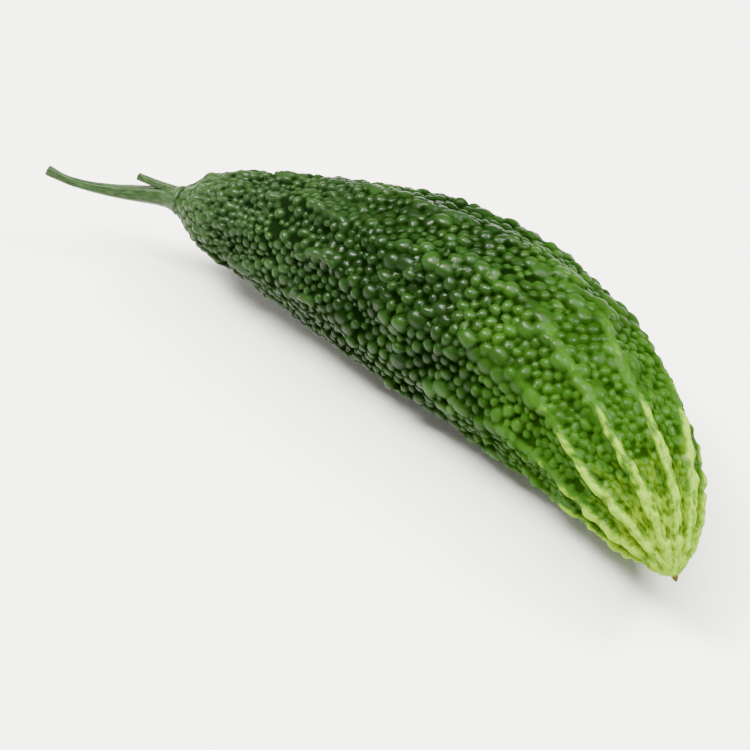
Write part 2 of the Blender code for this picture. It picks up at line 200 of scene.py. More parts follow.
class Term:
    """A number or vector in a node tree. Python's operators on terms add the nodes that work them out."""

    def __init__(self, graph, socket):
        self.graph = graph
        self.socket = socket

    @property
    def is_vector(self):
        return self.socket.type == "VECTOR"

    def _maths(self, operation, *values):
        return self.graph.maths(operation, *values)

    def __add__(self, other):
        return self._maths("ADD", self, other)

    __radd__ = __add__

    def __sub__(self, other):
        return self._maths("SUBTRACT", self, other)

    def __rsub__(self, other):
        return self._maths("SUBTRACT", other, self)

    def __mul__(self, other):
        if self.is_vector and not (isinstance(other, Term) and other.is_vector):
            return self.graph.vector_maths("SCALE", {0: self, "Scale": other})
        if not self.is_vector and isinstance(other, Term) and other.is_vector:
            return other * self
        return self._maths("MULTIPLY", self, other)

    __rmul__ = __mul__

    def __truediv__(self, other):
        return self._maths("DIVIDE", self, other)

    def __rtruediv__(self, other):
        return self._maths("DIVIDE", other, self)

    def __pow__(self, other):
        return self._maths("POWER", self, other)

    def __neg__(self):
        return self * -1

    def __gt__(self, other):
        return self._maths("GREATER_THAN", self, other)

    def __lt__(self, other):
        return self._maths("LESS_THAN", self, other)

    def sin(self):
        return self._maths("SINE", self)

    def cos(self):
        return self._maths("COSINE", self)

    def exp(self):
        return self._maths("EXPONENT", self)

    def least(self, other):
        return self._maths("MINIMUM", self, other)

    def most(self, other):
        return self._maths("MAXIMUM", self, other)

    def clip(self):
        """Held between 0 and 1."""
        return self.most(0).least(1)

    def unit(self):
        """A vector of length 1 that points the same way."""
        return self._maths("NORMALIZE", self)

    def size(self):
        """A vector's length."""
        return self.graph.vector_maths("LENGTH", {0: self}, output="Value")

    def dot(self, other):
        return self.graph.vector_maths("DOT_PRODUCT", {0: self, 1: other}, output="Value")

    def cross(self, other):
        return self._maths("CROSS_PRODUCT", self, other)

    def part(self, axis):
        """The x, y or z of a vector."""
        return self.graph.node("ShaderNodeSeparateXYZ", {}, {0: self}, output="XYZ".index(axis))

    def smooth(self, low, high):
        """0 below low and 1 above high, with a soft step between."""
        return self.graph.node(
            "ShaderNodeMapRange",
            {"interpolation_type": "SMOOTHSTEP"},
            {"Value": self, "From Min": low, "From Max": high, "To Min": 0.0, "To Max": 1.0},
        )


class Graph:
    """A node tree that is being written. Its node method adds any node, and terms do the maths."""

    def __init__(self, tree):
        self.tree = tree

    def node(self, kind, settings=None, inputs=None, output=0):
        """Adds a node: first its settings, then the values or links of its sockets. Returns one output."""
        made = self.tree.nodes.new(kind)
        for name, value in (settings or {}).items():
            setattr(made, name, value)
        for name, value in (inputs or {}).items():
            self.feed(made.inputs[name], value)
        return Term(self, made.outputs[output]) if made.outputs else made

    def feed(self, socket, value):
        """Links a term to a socket, or sets a plain value on it."""
        if isinstance(value, Term):
            self.tree.links.new(value.socket, socket)
        else:
            socket.default_value = value

    def maths(self, operation, *values):
        """A Math or Vector Math node, as the values are numbers or vectors."""
        vector = any(isinstance(v, Term) and v.is_vector for v in values)
        kind = "ShaderNodeVectorMath" if vector else "ShaderNodeMath"
        return self.node(kind, {"operation": operation}, dict(enumerate(values)))

    def vector_maths(self, operation, inputs, output=0):
        return self.node("ShaderNodeVectorMath", {"operation": operation}, inputs, output)

    def vector(self, x, y, z):
        return self.node("ShaderNodeCombineXYZ", {}, {0: x, 1: y, 2: z})

    def soft_most(self, first, second, blend):
        """The larger of two numbers, with a soft step from one to the other."""
        return self.maths("SMOOTH_MAX", first, second, blend)


class Shape(Graph):
    """A Geometry Nodes tree whose inputs are the sizes in property groups."""

    def __init__(self, name, *groups):
        super().__init__(bpy.data.node_groups.new(name, "GeometryNodeTree"))
        self.tree.interface.new_socket("Geometry", in_out="OUTPUT", socket_type="NodeSocketGeometry")
        self.values = {}
        self.sizes = {}
        for group in groups:
            for key, prop in group.bl_rna.properties.items():
                if key not in ("name", "rna_type"):
                    self.add_input(key, prop, getattr(group, key))
        entry = self.tree.nodes.new("NodeGroupInput")
        for key, (socket, _) in self.values.items():
            output = next(o for o in entry.outputs if o.identifier == socket.identifier)
            self.sizes[key] = Term(self, output)

    def add_input(self, key, prop, value):
        """Gives the tree an input for one size."""
        kinds = {"INT": "NodeSocketInt", "FLOAT": "NodeSocketFloat"}
        kind = "NodeSocketVector" if getattr(prop, "is_array", False) else kinds[prop.type]
        socket = self.tree.interface.new_socket(prop.name, in_out="INPUT", socket_type=kind)
        self.values[key] = (socket, value)

    def __getattr__(self, key):
        try:
            return self.sizes[key]
        except KeyError as missing:
            raise AttributeError(key) from missing

    def stored(self, geometry, name, value):
        """The geometry with a number or vector kept on each of its points."""
        return self.node(
            "GeometryNodeStoreNamedAttribute",
            {"data_type": "FLOAT_VECTOR" if value.is_vector else "FLOAT", "domain": "POINT"},
            {"Geometry": geometry, "Name": name, "Value": value},
        )

    def random(self, seed):
        """A number between 0 and 1 for each point."""
        ends = {2: 0.0, 3: 1.0, "Seed": seed}
        return self.node("FunctionNodeRandomValue", {"data_type": "FLOAT"}, ends, output=1)

    def kept(self, name, kind="FLOAT"):
        """What was stored under that name."""
        return self.node("GeometryNodeInputNamedAttribute", {"data_type": kind}, {"Name": name})

    def place(self):
        """Where each point is."""
        return self.node("GeometryNodeInputPosition")

    def moved(self, geometry, to):
        """The geometry with its points put at other places."""
        return self.node("GeometryNodeSetPosition", {}, {"Geometry": geometry, "Position": to})

    def pushed(self, geometry, offset):
        """The geometry with its points moved by an offset."""
        return self.node("GeometryNodeSetPosition", {}, {"Geometry": geometry, "Offset": offset})

    def merged(self, geometry):
        """The geometry closed where its points fall together."""
        return self.node(
            "GeometryNodeMergeByDistance", {}, {"Geometry": geometry, "Distance": MERGE_DISTANCE}
        )

    def grid(self, rows, columns):
        """A flat grid, 1 wide and 1 long, that is then wrapped round a line."""
        counts = {"Size X": 1.0, "Size Y": 1.0, "Vertices X": rows, "Vertices Y": columns + 1}
        return self.node("GeometryNodeMeshGrid", {}, counts)

    def finish(self, geometry, material):
        """Ends the tree with real faces in one material."""
        smooth = self.node("GeometryNodeSetShadeSmooth", {}, {"Geometry": geometry})
        real = self.node("GeometryNodeRealizeInstances", {}, {"Geometry": smooth})
        painted = self.node("GeometryNodeSetMaterial", {}, {"Geometry": real, "Material": material})
        self.node("NodeGroupOutput", {}, {"Geometry": painted})

    def make(self, name):
        """Runs the tree on a new object and keeps its result as a plain mesh."""
        piece = bpy.data.objects.new(name, bpy.data.meshes.new(name))
        bpy.context.scene.collection.objects.link(piece)
        modifier = piece.modifiers.new(name, "NODES")
        modifier.node_group = self.tree
        for socket, value in self.values.values():
            modifier[socket.identifier] = value[:] if hasattr(value, "__len__") else value
        view = bpy.context.evaluated_depsgraph_get()
        mesh = bpy.data.meshes.new_from_object(
            piece.evaluated_get(view), preserve_all_data_layers=True, depsgraph=view
        )
        piece.modifiers.remove(modifier)
        piece.data = mesh
        mesh.name = name
        return piece


def middle_line(shape, u):
    """The point of the fruit's middle line at the share u of its chord."""

    def bow(at):
        return 4 * shape.bow * at * (1 - at) * (1 + shape.bow_skew * (2 * at - 1))

    to_neck = (1 - u / shape.belly).most(0)
    to_tip = ((u - shape.belly) / (1 - shape.belly)).most(0)
    height = shape.axis_height - shape.neck_droop * to_neck**2 - shape.tip_droop * to_tip**2
    return shape.vector(shape.chord * (u - shape.belly), bow(u) - bow(shape.belly), height)


def heading(shape, u):
    """The unit vector along the middle line at u."""
    return (middle_line(shape, u + STEP) - middle_line(shape, u - STEP)).unit()


def outward(shape, along, angle):
    """The unit vector across a direction, turned round it by the angle."""
    beside = shape.vector(0, 0, 1).cross(along).unit()
    above = along.cross(beside)
    return beside * angle.cos() + above * angle.sin()


NIB_START = 0.99  # where the nib begins
NIB_BLEND = 0.0003  # how softly the skin narrows into it


def girth(shape, u):
    """The radius of the smooth body, with the nib at its end."""
    to_neck = (1 - u / shape.widest).clip()
    to_tip = ((u - shape.widest) / (1 - shape.widest)).clip()
    swell = shape.body_radius - shape.neck_radius
    neck_side = shape.neck_radius + swell * (1 - to_neck**shape.neck_power)
    tip_side = shape.body_radius * (1 - to_tip**2) ** shape.tip_power
    on_neck_side = shape.maths("COMPARE", u, 0, shape.widest)
    body = neck_side * on_neck_side + tip_side * (1 - on_neck_side)
    past = ((u - NIB_START) / (1 - NIB_START + shape.nib_length / shape.chord)).clip()
    nib = shape.nib_radius * (1 - past**3) * (u > NIB_START)
    return shape.soft_most(body, nib, NIB_BLEND)


def window(value, low, high, width):
    """1 between low and high, falling to 0 over the width outside them."""
    return value.smooth(low - width, low) * (1 - value.smooth(high, high + width))


# Each crowd of beads: their usual radius, their least distance when new, and where along the fruit they
# begin, are all there, dwindle and end
CROWDS = (
    (0.00115, 0.00188, -1.0, -0.9, 0.10, 0.24),
    (0.00142, 0.00235, 0.10, 0.24, 0.34, 0.46),
    (0.00165, 0.00292, 0.34, 0.46, 0.68, 0.78),
    (0.00138, 0.00230, 0.68, 0.78, 0.84, 0.90),
    (0.00105, 0.00172, 0.84, 0.90, 2.0, 3.0),
)
TRIED = 4.0  # beads tried on a square as wide as a bead's radius; the least distance leaves few
BEADS_FADE = 0.008  # over which the beads begin and end
SETTLING = 100  # rounds in which the beads push each other apart, less and less
FIRST_PUSH = 0.55  # share of the missing room, in the first round
LAST_PUSH = 0.05
SIZES = (0.00130, 0.00165, 0.00205)  # where the beads are split into small, middle, large and very large
LARGE_BEADS = (0.34, 0.78, 0.12)  # the ridges bear larger beads from here to there, fading over the last
UPPER_BEADS = (0.34, 0.74, 0.12)  # and the upper side does
LARGE_CHANCE = 0.55  # a bead on a ridge is large if its draw is above this
SEED_LUCK = 10  # added to the seed for each of the random draws
SEED_LARGE = 20
SEED_TONE = 40
SEED_TALL = 41


def bead_points(shape, skin, along, crest):
    """The beads' places, in one cloud for each range of sizes. They push each other apart first."""
    beads = shape.node("GeometryNodeJoinGeometry")
    for i, (radius, spacing, begin, whole, dwindle, last) in enumerate(CROWDS):
        share_here = along.smooth(begin, whole) * (1 - along.smooth(dwindle, last))
        crowd = shape.node(
            "GeometryNodeDistributePointsOnFaces",
            {"distribute_method": "POISSON"},
            {
                "Mesh": skin,
                "Distance Min": spacing,
                "Density Max": TRIED / radius**2,
                "Density Factor": share_here * window(along, shape.first, shape.last, BEADS_FADE),
                "Seed": shape.seed + i,
            },
        )
        luck = shape.random(shape.seed + SEED_LUCK + i)
        large = (shape.random(shape.seed + SEED_LARGE + i) > LARGE_CHANCE) * crest.smooth(0.5, 0.8)
        large = large * window(along, *LARGE_BEADS)
        upper = shape.kept("upper").smooth(-0.2, 0.9) * window(along, *UPPER_BEADS)
        wish = radius * (0.66 + 0.62 * luck + 0.42 * large) * (0.93 + 0.22 * upper)
        crowd = shape.stored(crowd, "wish", wish)
        shape.tree.links.new(crowd.socket, beads.socket.node.inputs[0])

    settle = shape.tree.nodes.new("GeometryNodeRepeatInput")
    settled = shape.tree.nodes.new("GeometryNodeRepeatOutput")
    settle.pair_with_output(settled)
    settle.inputs["Iterations"].default_value = SETTLING
    shape.feed(settle.inputs["Geometry"], beads)
    moving = Term(shape, settle.outputs["Geometry"])
    turn = Term(shape, settle.outputs["Iteration"])
    ends = {4: 0, 5: 2, "Seed": turn}
    group = shape.node("FunctionNodeRandomValue", {"data_type": "INT"}, ends, output=2)
    offset, room = to_neighbour(shape, group)
    push = FIRST_PUSH - (FIRST_PUSH - LAST_PUSH) / SETTLING * turn
    apart = shape.pushed(moving, offset.unit() * ((room - offset.size()).most(0) * push))
    nearest = {"Geometry": skin}
    back = shape.node("GeometryNodeProximity", {"target_element": "FACES"}, nearest, output="Position")
    shape.feed(settled.inputs["Geometry"], shape.moved(apart, back))
    beads = Term(shape, settled.outputs["Geometry"])

    offset, room = to_neighbour(shape)
    fitting = (offset.size() / room).least(1.05).most(0.80)
    beads = shape.stored(beads, "size", shape.kept("wish") * fitting)
    beads = shape.stored(beads, "tone", shape.random(shape.seed + SEED_TONE))
    beads = shape.stored(beads, "tall", shape.random(shape.seed + SEED_TALL))
    clouds = []
    for limit in SIZES:
        smaller = {0: beads, 1: shape.kept("size") < limit}
        split = shape.node("GeometryNodeSeparateGeometry", {"domain": "POINT"}, smaller)
        clouds.append(split)
        beads = Term(shape, split.socket.node.outputs[1])
    return [*clouds, beads]


def to_neighbour(shape, group=0):
    """The way to a bead from its nearest neighbour in the group, and how far apart both want to be."""
    beside = shape.node("GeometryNodeIndexOfNearest", {}, {"Group ID": group})

    def across(kind, value):
        there = {"Index": beside, "Value": value}
        return shape.node("GeometryNodeFieldAtIndex", {"data_type": kind}, there)

    here = shape.place()
    wish = shape.kept("wish")
    return here - across("FLOAT_VECTOR", here), wish + across("FLOAT", wish)


class Nearest:
    """The point of a cloud that is nearest to a place."""

    def __init__(self, shape, cloud, place):
        self.shape = shape
        self.cloud = cloud
        self.place = place
        self.index = shape.node(
            "GeometryNodeSampleNearest", {"domain": "POINT"}, {"Geometry": cloud, "Sample Position": place}
        )

    def sample(self, kind, value):
        return self.shape.node(
            "GeometryNodeSampleIndex",
            {"data_type": kind, "domain": "POINT"},
            {"Geometry": self.cloud, "Value": value, "Index": self.index},
        )

    def value(self, name):
        """The number that the point has stored under that name."""
        return self.sample("FLOAT", self.shape.kept(name))

    def offset(self):
        """From the point to the place."""
        return self.place - self.sample("FLOAT_VECTOR", self.shape.place())


def wobble(shape, place, width, output="Fac"):
    """Noise whose features are about as wide as given."""
    return shape.node(
        "ShaderNodeTexNoise",
        {"noise_dimensions": "3D"},
        {"Vector": place, "Scale": 0.5 / width, "Detail": 1.0},
        output=output,
    )


# Where along the fruit its skin changes. Three numbers are from, to, and the width of the fading outside
# them. Two are where a change begins and ends.
SWELLS = (0.12, 0.88, 0.10)  # ridges and unevenness
SHOULDER = (0.045, 0.09, 0.035)
BODY_CORDS = (0.12, 0.84, 0.08)
TIP_CORDS = (0.60, 0.84)
TAPERED_CORDS = (0.62, 0.84)  # the cords get an even width
STRAIGHT_RIDGES = (0.66, 0.88)  # the ridges sway half as much
FULL_BEADS = (0.10, 0.70, 0.20)
SHOULDER_BEADS = (0.05, 0.14, 0.06)
NECK_LINES = (0.03, 0.12)  # towards the neck the skin has fine lines and long beads
TIP_LINES = (0.74, 0.88)
TIP_LINES_END = (0.97, 1.0)
NECK_DIP = 0.0007  # by which the skin drops under the stalk's foot
NECK_DIP_END = 0.012

# Widths of what varies by noise
SWAY_WIDTH = 0.008
BREAK_WIDTH = 0.007
KNOB_WIDTH = 0.0022
STREAK_WIDTH = 0.00075
CORD_WIDTH_NOISE = 0.0035
FULLNESS_WIDTH = 0.006
OUTLINE_WIDTH = 0.0022

RIDGE_APART = 0.037  # between two ridges in the noise that breaks their cords
FIBRE_STRETCH = 0.13  # fibres are longer than wide by 1 over this
UP_SIDE = (0.0, 0.55, 0.84)  # the way that the upper beads face
TALLEST = 0.0021  # beads wider than this are no higher


def ridge_lines(shape, u, angle, radius, body):
    """The ridges' crests, the cords along them, and the fine lines and fibres of the skin."""
    wander = (shape.ridge_waves * FULL_TURN * u + shape.ridge_shift * angle.sin()).sin() * shape.ridge_wave
    straight = 1 - 0.5 * u.smooth(*STRAIGHT_RIDGES)
    sway = (wobble(shape, body, SWAY_WIDTH) - 0.5) * shape.ridge_sway * straight
    sway = sway / radius.most(0.006)
    phase = shape.ridges * (angle - wander - sway)
    crest = phase.cos() * 0.5 + 0.5
    turns = shape.maths("FLOOR", phase / FULL_TURN + 0.5)
    number = shape.maths("FLOORED_MODULO", turns, shape.ridges)
    broken = wobble(shape, shape.vector(u * shape.chord, number * RIDGE_APART, 0.0), BREAK_WIDTH)

    knobs = wobble(shape, body, KNOB_WIDTH)
    fibre = shape.vector(u * shape.chord * FIBRE_STRETCH, angle.cos() * radius, angle.sin() * radius)
    streak = wobble(shape, fibre, STREAK_WIDTH)
    tip_cord = u.smooth(*TIP_CORDS) * (0.22 + 0.50 * knobs + 0.80 * streak)
    body_cord = window(u, *BODY_CORDS) * broken.smooth(0.52, 0.58) * (0.15 + 1.5 * knobs)
    taper = u.smooth(*TAPERED_CORDS)
    varied = (1.0 - 0.55 * taper) * wobble(shape, body, CORD_WIDTH_NOISE)
    cord_width = shape.cord_width * (0.42 + 0.26 * taper + varied)
    off_crest = shape.maths("ARCCOSINE", phase.cos()) / shape.ridges * radius / cord_width
    cord = (1 - off_crest**2).most(0) * tip_cord.most(body_cord)
    return {"crest": crest, "cord": cord, "streak": streak, "fibre": fibre}


def bare_skin(shape):
    """The fruit's skin without its beads: a wrapped grid with ridges, and what it has stored."""
    grid = shape.grid(shape.rows, shape.columns)
    place = shape.place()
    run = place.part("X") + 0.5
    u = run * (1 + shape.nib_length / shape.chord)
    angle = (0.5 - place.part("Y")) * FULL_TURN
    radius = girth(shape, u)
    middle = middle_line(shape, u)
    grain = heading(shape, u)
    out = outward(shape, grain, angle)
    lines = ridge_lines(shape, u, angle, radius, middle + out * radius)

    swells = window(u, *SWELLS)
    uneven = wobble(shape, middle + out * radius, shape.lump_size)
    reach = radius + shape.ridge_swell * lines["crest"] * swells
    reach = reach + shape.lumpiness * (uneven - 0.5) * swells + shape.shoulder * window(u, *SHOULDER)
    reach = reach - NECK_DIP * (1 - u.smooth(0.0, NECK_DIP_END))
    closed = (run * shape.rows).least(1) * ((1 - run) * shape.rows).least(1)
    kept = {"along": u, "girth": radius, "grain": grain, "upper": out.dot(shape.vector(*UP_SIDE)), **lines}
    for name, value in kept.items():
        grid = shape.stored(grid, name, value)
    return shape.merged(shape.moved(grid, middle + out * (reach * closed)))


def bead_relief(shape, clouds, along):
    """How far the beads lift the skin, how near each point is to a bead's top, and that bead's tone."""
    spot = shape.place()
    strays = wobble(shape, spot, OUTLINE_WIDTH, output="Color") - shape.vector(0.5, 0.5, 0.5)
    bent = spot + strays * shape.irregular
    grain = shape.kept("grain", "FLOAT_VECTOR")
    lift = top = tone = None
    for cloud in clouds:
        bead = Nearest(shape, cloud, bent)
        size, tall = bead.value("size"), bead.value("tall")
        stretch = 0.4 * size.smooth(0.0018, 0.0024) + 0.6 * tall.smooth(0.65, 0.95)
        stretch = stretch + 0.9 * (1 - along.smooth(*NECK_LINES))
        longer = 1 - 1 / (1 + stretch)
        offset = bead.offset()
        offset = offset - grain * (offset.dot(grain) * longer)
        across = offset.size() / (size * shape.spread)
        full = (1 - across**2).most(0) ** shape.roundness
        dome = full * size.least(TALLEST) * shape.height * (0.62 + 0.62 * bead.value("tone"))
        if lift is None:
            lift, top, tone = dome, full, bead.value("tone")
        else:
            higher = dome > lift
            top = top + (full - top) * higher
            tone = tone + (bead.value("tone") - tone) * higher
            lift = shape.soft_most(lift, dome, shape.blend)
    fullness = window(along, *FULL_BEADS) * 0.25 + 0.70
    fullness = fullness + 0.9 * (wobble(shape, spot, FULLNESS_WIDTH) - 0.5)
    fullness = fullness + 0.30 * window(along, *SHOULDER_BEADS)
    fullness = fullness * along.smooth(0.0, 0.05) * (1 - along.smooth(0.80, shape.last))
    return lift * fullness, top, tone


def build_skin(context):
    """The fruit's skin, pushed out by beads, cords and fine lines, and pressed flat where it lies."""
    props = context.scene.gourd
    shape = Shape("Gourd skin", props.shape, props.beads)
    skin = bare_skin(shape)
    along, cord = shape.kept("along"), shape.kept("cord")
    clouds = bead_points(shape, skin, along, shape.kept("crest"))
    lift, top, tone = bead_relief(shape, clouds, along)

    rope = shape.cord_height * cord * (shape.kept("girth") / 0.008).clip()
    lift = lift * (1 - 0.80 * cord.smooth(0.0, 0.6)) + rope
    tip_lines = along.smooth(*TIP_LINES) * (1 - along.smooth(*TIP_LINES_END))
    ends = ((1 - along.smooth(*NECK_LINES)) * 0.5).most(tip_lines)
    lift = lift + shape.streak_height * (shape.kept("streak") - 0.5) * ends
    skin = shape.stored(skin, "lift", lift)
    skin = shape.stored(skin, "top", top.most(cord.smooth(0.1, 0.8) * 0.85))
    skin = shape.stored(skin, "tone", tone)
    skin = shape.pushed(skin, shape.node("GeometryNodeInputNormal") * shape.kept("lift"))
    place = shape.place()
    pressed = shape.vector(place.part("X"), place.part("Y"), place.part("Z").most(0))
    shape.finish(shape.moved(skin, pressed), skin_material(props.colours))
    return shape.make("gourd_skin_surface")


def new_material(name):
    """A material and the graph that its nodes are written in."""
    material = bpy.data.materials.new(name)
    material.use_nodes = True
    material.node_tree.nodes.clear()
    return material, Graph(material.node_tree)


def mixed(graph, first, second, factor):
    """A colour between two colours."""
    ends = [v if isinstance(v, Term) else (*v, 1) for v in (first, second)]
    return graph.node(
        "ShaderNodeMix", {"data_type": "RGBA"}, {0: factor, 6: ends[0], 7: ends[1]}, output=2
    )


def noise(graph, place, scale, detail=2.0):
    """Noise between 0 and 1 that varies about as often as the scale in a metre."""
    inputs = {"Vector": place, "Scale": scale, "Detail": detail}
    return graph.node("ShaderNodeTexNoise", {"noise_dimensions": "3D"}, inputs)


def attribute(graph, name, output="Fac"):
    """What the shape has stored under that name."""
    return graph.node("ShaderNodeAttribute", {"attribute_name": name}, {}, output=output)


def finish_material(graph, inputs):
    """Closes a material with one Principled shader."""
    shader = graph.node("ShaderNodeBsdfPrincipled", {}, inputs)
    graph.node("ShaderNodeOutputMaterial", {}, {"Surface": shader})


# How finely the noises of the skin's material vary
PATCHES = 70.0
SPOTS = 260.0
FLECKS = 420.0
FIBRES = 1700.0
GRAIN = 1900.0


def skin_material(colours):
    """Glossy beads: painted shade between them, tops paler partly by a painted sheen; yellow-green tip,
    grey-green neck.
    """
    material, graph = new_material("gourd_skin")
    place = graph.node("ShaderNodeTexCoord", output="Object")
    names = ("along", "top", "cord", "tone", "streak")
    along, top, cord, tone, streak = (attribute(graph, name) for name in names)
    patches, spots = noise(graph, place, PATCHES), noise(graph, place, SPOTS)
    fibres = noise(graph, attribute(graph, "fibre", "Vector"), FIBRES, 3.0)
    lines = (streak.smooth(0.38, 0.60) * 0.55 + fibres.smooth(0.40, 0.60) * 0.55).clip()
    flecks = noise(graph, place, FLECKS, 3.0)
    raised = top.smooth(0.40, 0.95)
    reach = along + 0.08 * (patches - 0.5) + 0.12 * (streak - 0.5)

    # The beads' sides and the skin between them, with painted shade between the beads, lighter towards the
    # young tip
    young = reach.smooth(0.50, 0.86)
    crevice_painted_shade = mixed(graph, colours.crevice_painted_shade, colours.young_crevice_painted_shade, young)
    flank = mixed(graph, colours.flank, colours.young_flank, young)
    shade = mixed(graph, crevice_painted_shade, flank, top.smooth(0.15, 0.70))

    # The beads' tops, paler than their sides, partly by their own tone and partly as a painted sheen
    fresh = (reach.smooth(0.40, 0.82) + 1.2 * (patches - 0.5)).clip()
    crown_and_painted_sheen = mixed(graph, colours.crown_and_painted_sheen, colours.fresh, fresh)
    light = 0.30 + 0.75 * tone + 1.4 * (patches - 0.5) + 0.9 * (spots - 0.5)

    # The tip, which turns pale from the cords' crests down
    crest_line = (cord + 0.5 * (spots - 0.5) + 0.3 * (lines - 0.5)).smooth(0.25, 1.20) * 1.2
    pale = (crest_line + (reach - 0.865) * 7.0).clip() * reach.smooth(0.62, 0.86)
    marked = 0.16 + 0.85 * lines + 0.12 * top + 0.6 * (spots - 0.45) + 0.12 * along.smooth(0.90, 1.0)

    # The shoulder
    greyed = (1 - reach.smooth(0.03, 0.14)) * (0.15 + 0.55 * top.smooth(0.1, 0.7) + 0.4 * lines).clip()
    greyed = greyed.most((1 - reach.smooth(0.12, 0.36)) * (0.10 + 0.32 * top.smooth(0.2, 0.9)))

    # Each colour that lies over what is there so far, and how much of it
    layers = (
        (crown_and_painted_sheen, raised * light.clip()),
        (colours.cord, cord.smooth(0.30, 0.95) * 0.6 * (1 - reach.smooth(0.55, 0.72))),
        (colours.fresh, cord.smooth(0.0, 0.5) * reach.smooth(0.50, 0.70) * 0.8),
        (colours.tip, pale * marked.clip()),
        (colours.neck, greyed),
        (colours.stalk_light, (1 - reach.smooth(0.03, 0.12)) * lines.smooth(0.45, 0.95) * 0.55),
        (colours.stalk, (1 - along.smooth(0.0, 0.035)) * 0.8),
        (colours.nib, along.smooth(0.998, 1.004)),
    )
    for tint, amount in layers:
        shade = mixed(graph, shade, tint, amount)

    ends = (1 - along.smooth(0.04, 0.16)).most(along.smooth(0.70, 0.86))
    rough = noise(graph, place, GRAIN) * (1 - 0.4 * ends) + fibres * ends * 2.6
    bump = graph.node("ShaderNodeBump", {}, {"Strength": 0.6, "Distance": 0.00025, "Height": rough})
    inputs = {
        "Base Color": shade,
        "Roughness": 0.55 - 0.20 * raised + 0.12 * (flecks - 0.5),
        "Normal": bump,
        "Specular IOR Level": 0.0,
        "Coat Weight": top.smooth(0.6, 1.0) * (0.43 - 0.28 * along.smooth(0.45, 0.80)),
        "Coat Roughness": 0.25,
        "Coat IOR": 1.38,
    }
    finish_material(graph, inputs)
    return material


# The same for the stalk's
STALK_PATCHES = 160.0
STALK_GRAIN = 1300.0
STALK_FIBRES = 2200.0


def stalk_material(colours):
    """Soft grey-green with fine lines along it, painted shade on its underside and in its furrows, and a
    darker cut end.
    """
    material, graph = new_material("stalk_skin")
    place = graph.node("ShaderNodeTexCoord", output="Object")
    cut, groove, under = (attribute(graph, name) for name in ("cut", "groove", "under"))
    patches = noise(graph, place, STALK_PATCHES, 3.0)
    fibres = noise(graph, attribute(graph, "fibre", "Vector"), STALK_FIBRES, 3.0)
    pale = (patches + fibres - 0.5).smooth(0.35, 0.7)
    shade = mixed(graph, colours.stalk, colours.stalk_light, pale)
    # Painted shade on the underside and in the furrows, with the fibres' darker streaks added to it
    dark = under.smooth(-0.1, 0.7) * 0.75 + (0.5 - 8 * groove).clip() * 0.25 + 1.2 * (0.5 - fibres)
    shade = mixed(graph, shade, colours.stalk_streaks_and_painted_shade, dark.clip())
    shade = mixed(graph, shade, colours.cut, cut)
    rough = fibres + 0.5 * noise(graph, place, STALK_GRAIN)
    bump = graph.node("ShaderNodeBump", {}, {"Strength": 0.5, "Distance": 0.0002, "Height": rough})
    roughness = 0.45 + 0.2 * (patches - 0.5)
    inputs = {"Base Color": shade, "Roughness": roughness, "Normal": bump, "Specular IOR Level": 0.15}
    finish_material(graph, inputs)
    return material


def curve_point(foot, knee, end, t):
    """A point on the curve from foot to end that sets out towards the knee."""
    return foot * ((1 - t) ** 2) + knee * (2 * t * (1 - t)) + end * (t**2)


# Shares of a tube's rows: its side, the lip round its cut end, and the hollow in that end
SIDE_ROWS = 0.90
LIP_ROWS = 0.04
HOLLOW_ROWS = 0.06
GROOVES = ((5, 0.055, 0.0), (10, 0.025, 1.0), (23, 0.012, 0.0))  # how many, how deep, how far turned
BARK_RADIUS = 0.002  # where on a tube its unevenness is taken
BARK_WIDTH = 0.003
BARK_LINES = (0.006, 0.0015)  # length and radius of the tube on which its fibres are drawn
SAG_PEAK = 4 / 27  # the highest that t squared times 1 - t comes


def swept(shape, line, radius_at, rows, columns, hollow):
    """A closed tube along a curve, with grooves along it and a hollow in its cut end."""
    grid = shape.grid(rows, columns)
    place = shape.place()
    run = place.part("X") + 0.5
    angle = (place.part("Y") + 0.5) * FULL_TURN
    t = (run / SIDE_ROWS).clip()
    lip = ((run - SIDE_ROWS) / LIP_ROWS).clip()
    inside = ((run - (SIDE_ROWS + LIP_ROWS)) / HOLLOW_ROWS).clip()
    along = (line(t + 0.01) - line(t - 0.01)).unit()
    out = outward(shape, along, angle)
    middle = line(t)
    grooves = sum(depth * (count * angle + turn).cos() for count, depth, turn in GROOVES)
    uneven = wobble(shape, middle + out * BARK_RADIUS, BARK_WIDTH) - 0.5
    furrowed = 1 + (grooves * t.smooth(0.0, 0.25) + 0.12 * uneven) * (1 - lip)
    radius = radius_at(t) * furrowed * (1 - 0.30 * lip) * (1 - inside)
    radius = radius * (run * rows).least(1)
    depth = along * (hollow * ((lip * math.pi).sin() * 0.25 - (inside * (math.pi / 2)).sin()))
    far, wide = BARK_LINES
    cut = shape.soft_most(lip * 0.4, inside, 0.1) + t.smooth(0.93, 1.0) * 0.15
    tube = shape.stored(grid, "groove", grooves)
    tube = shape.stored(tube, "fibre", shape.vector(t * far, angle.cos() * wide, angle.sin() * wide))
    # How far each point faces down, which sets the painted shade on the stalk's underside
    tube = shape.stored(tube, "under", -out.part("Z"))
    tube = shape.stored(tube, "cut", cut)
    return shape.merged(shape.moved(tube, middle + out * radius + depth))


def joined_tubes(shape, tubes):
    """The tubes as one closed mesh that keeps what they have stored."""
    union = shape.node("GeometryNodeMeshBoolean", {"operation": "UNION", "solver": "EXACT"}, {})
    apart = shape.node("GeometryNodeJoinGeometry")
    for tube in tubes:
        shape.tree.links.new(tube.socket, union.socket.node.inputs["Mesh 2"])
        shape.tree.links.new(tube.socket, apart.socket.node.inputs[0])
    # The union mixes up what the tubes have stored, so it is read again from them
    kinds = {"groove": "FLOAT", "fibre": "FLOAT_VECTOR", "under": "FLOAT", "cut": "FLOAT"}
    for name, kind in kinds.items():
        source = {"Mesh": apart, "Value": shape.kept(name, kind)}
        value = shape.node("GeometryNodeSampleNearestSurface", {"data_type": kind}, source)
        union = shape.stored(union, name, value)
    return union


